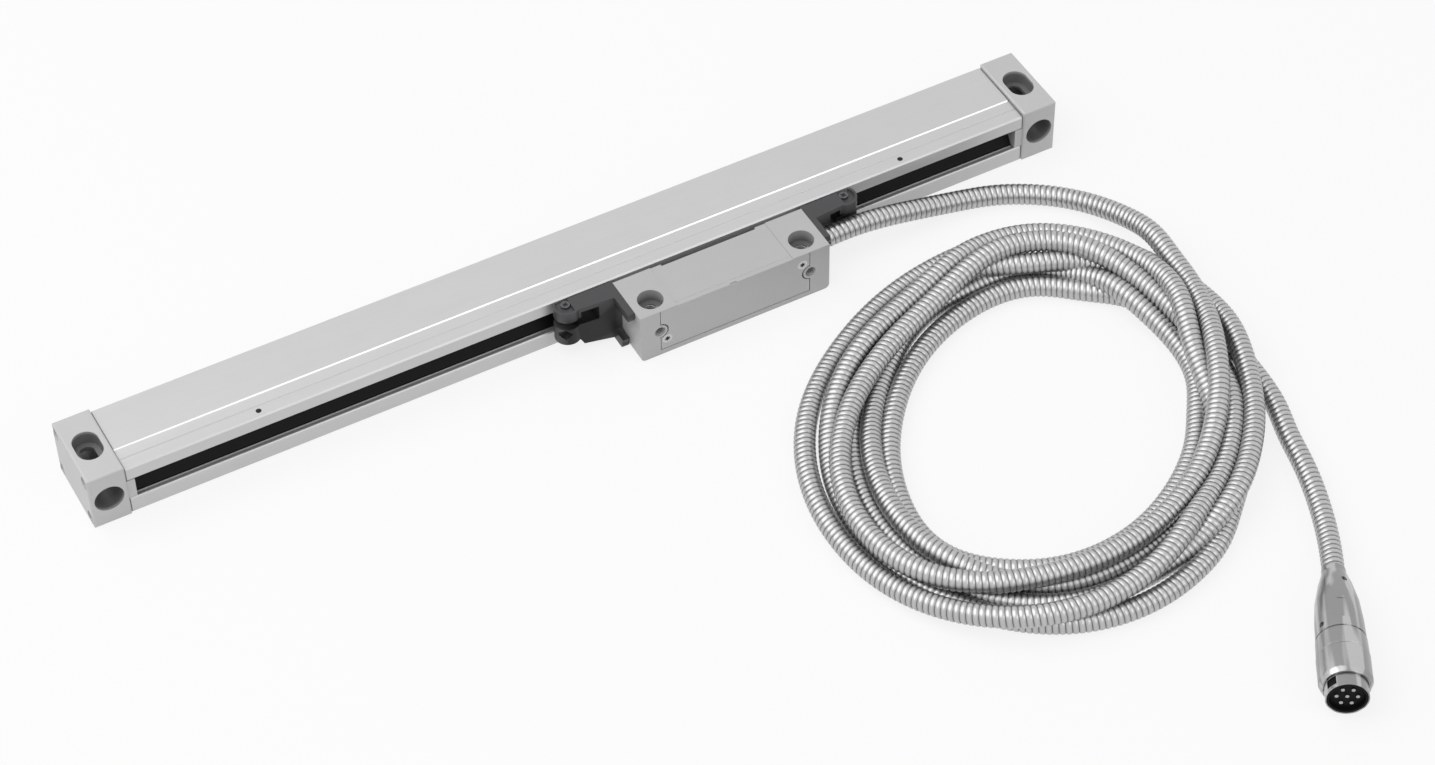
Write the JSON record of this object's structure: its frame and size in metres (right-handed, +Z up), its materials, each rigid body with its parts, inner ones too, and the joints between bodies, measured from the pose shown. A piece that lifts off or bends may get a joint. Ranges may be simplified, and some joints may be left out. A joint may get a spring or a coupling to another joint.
{
  "type": "linear glass scale",
  "caption": "Sealed linear glass scale: extruded housing with end blocks and lip-sealed slot, sliding reading head, steel wound cable and round multi-pin plug.",
  "frame": {"origin": "bottom centre of the scale and its reading head at rest, without the cable and plug: the middle of the housing's length, the middle of the depth from the head's front to the end blocks' back, on the base plane", "axes": "+X along the scale, towards the end where the cable leaves the head; +Y from the reading head to the housing's back; +Z up"},
  "size_m": [0.4004, 0.3139, 0.0238],
  "materials": {
    "profile_aluminium": "satin anodised extrusion",
    "block_aluminium": "matte blasted",
    "head_aluminium": "matte blasted",
    "gasket_rubber": "matte",
    "lip_rubber": "matte",
    "screw_steel": "turned",
    "dark_screw_steel": "blackened",
    "scale_glass": "polished",
    "circuit_board": "lacquered",
    "guide_plastic": "moulded, fine texture",
    "blade_steel": "ground",
    "carriage_plastic": "moulded",
    "bearing_steel": "polished",
    "hose_steel": "bright wound steel strip",
    "plug_chrome": "satin chrome",
    "insulator_plastic": "moulded",
    "pin_metal": "plated"
  },
  "bodies": {
    "reading_head": {"head_body": "head_aluminium", "head_cover": "head_aluminium", "head_gasket": "gasket_rubber", "head_cover_screws": "screw_steel", "amplifier_board": "circuit_board", "lip_guide_left": "guide_plastic", "lip_guide_right": "guide_plastic", "guide_screw_left": "dark_screw_steel", "guide_screw_right": "dark_screw_steel", "drive_blade": "blade_steel", "coupling_spring": "blade_steel", "carriage_frame": "carriage_plastic", "roller_pins": "blade_steel", "light_source_board": "circuit_board", "condenser_lens": "scale_glass", "scanning_reticle": "scale_glass", "photosensor_board": "circuit_board", "cable_gland": "hose_steel", "cable_lead": "hose_steel", "cable_coil": "hose_steel", "cable_tail": "hose_steel", "plug_backshell": "plug_chrome", "plug_rear_ring": "plug_chrome", "plug_shell": "plug_chrome", "plug_insulator": "insulator_plastic", "plug_pins": "pin_metal", "plug_set_screws": "dark_screw_steel"},
    "scale_housing": {"housing_profile": "profile_aluminium", "end_block_left": "block_aluminium", "end_block_right": "block_aluminium", "end_gasket_left": "gasket_rubber", "end_gasket_right": "gasket_rubber", "end_block_screws_left": "screw_steel", "end_block_screws_right": "screw_steel", "sealing_lip_upper": "lip_rubber", "sealing_lip_lower": "lip_rubber", "glass_scale": "scale_glass", "glass_clamp_strip": "gasket_rubber"},
    "face_roller_left": {"face_roller_left": "bearing_steel"},
    "face_roller_right": {"face_roller_right": "bearing_steel"},
    "edge_roller_left": {"edge_roller_left": "bearing_steel"},
    "edge_roller_right": {"edge_roller_right": "bearing_steel"},
    "coupling_ring": {"plug_coupling_ring": "plug_chrome"}
  },
  "joints": [
    {"name": "scale_slide", "type": "slide", "parent": "reading_head", "child": "scale_housing", "axis": [1, 0, 0], "range_m": [-0.0793, 0.1707]},
    {"name": "face_roller_left_spin", "type": "hinge", "parent": "reading_head", "child": "face_roller_left", "pos_m": [0.0097, 0.01735, 0.01545], "axis": [0, 1, 0], "range_deg": [-3930, 1830]},
    {"name": "edge_roller_left_spin", "type": "hinge", "parent": "reading_head", "child": "edge_roller_left", "pos_m": [0.0187, 0.01045, 0.01155], "axis": [0, 0, 1], "range_deg": [-3930, 1830]},
    {"name": "face_roller_right_spin", "type": "hinge", "parent": "reading_head", "child": "face_roller_right", "pos_m": [0.0817, 0.01735, 0.01545], "axis": [0, 1, 0], "range_deg": [-3930, 1830]},
    {"name": "edge_roller_right_spin", "type": "hinge", "parent": "reading_head", "child": "edge_roller_right", "pos_m": [0.0727, 0.01045, 0.01155], "axis": [0, 0, 1], "range_deg": [-3930, 1830]},
    {"name": "coupling_ring_turn", "type": "hinge", "parent": "reading_head", "child": "coupling_ring", "pos_m": [0.1397, -0.27232, 0.00981], "axis": [-0.5108, -0.8569, 0.0698], "continuous": true}
  ],
  "couplings": [
    {"joint": "face_roller_left_spin", "follows": "scale_slide", "rad_per_m": -400},
    {"joint": "edge_roller_left_spin", "follows": "scale_slide", "rad_per_m": -400},
    {"joint": "face_roller_right_spin", "follows": "scale_slide", "rad_per_m": -400},
    {"joint": "edge_roller_right_spin", "follows": "scale_slide", "rad_per_m": -400}
  ]
}
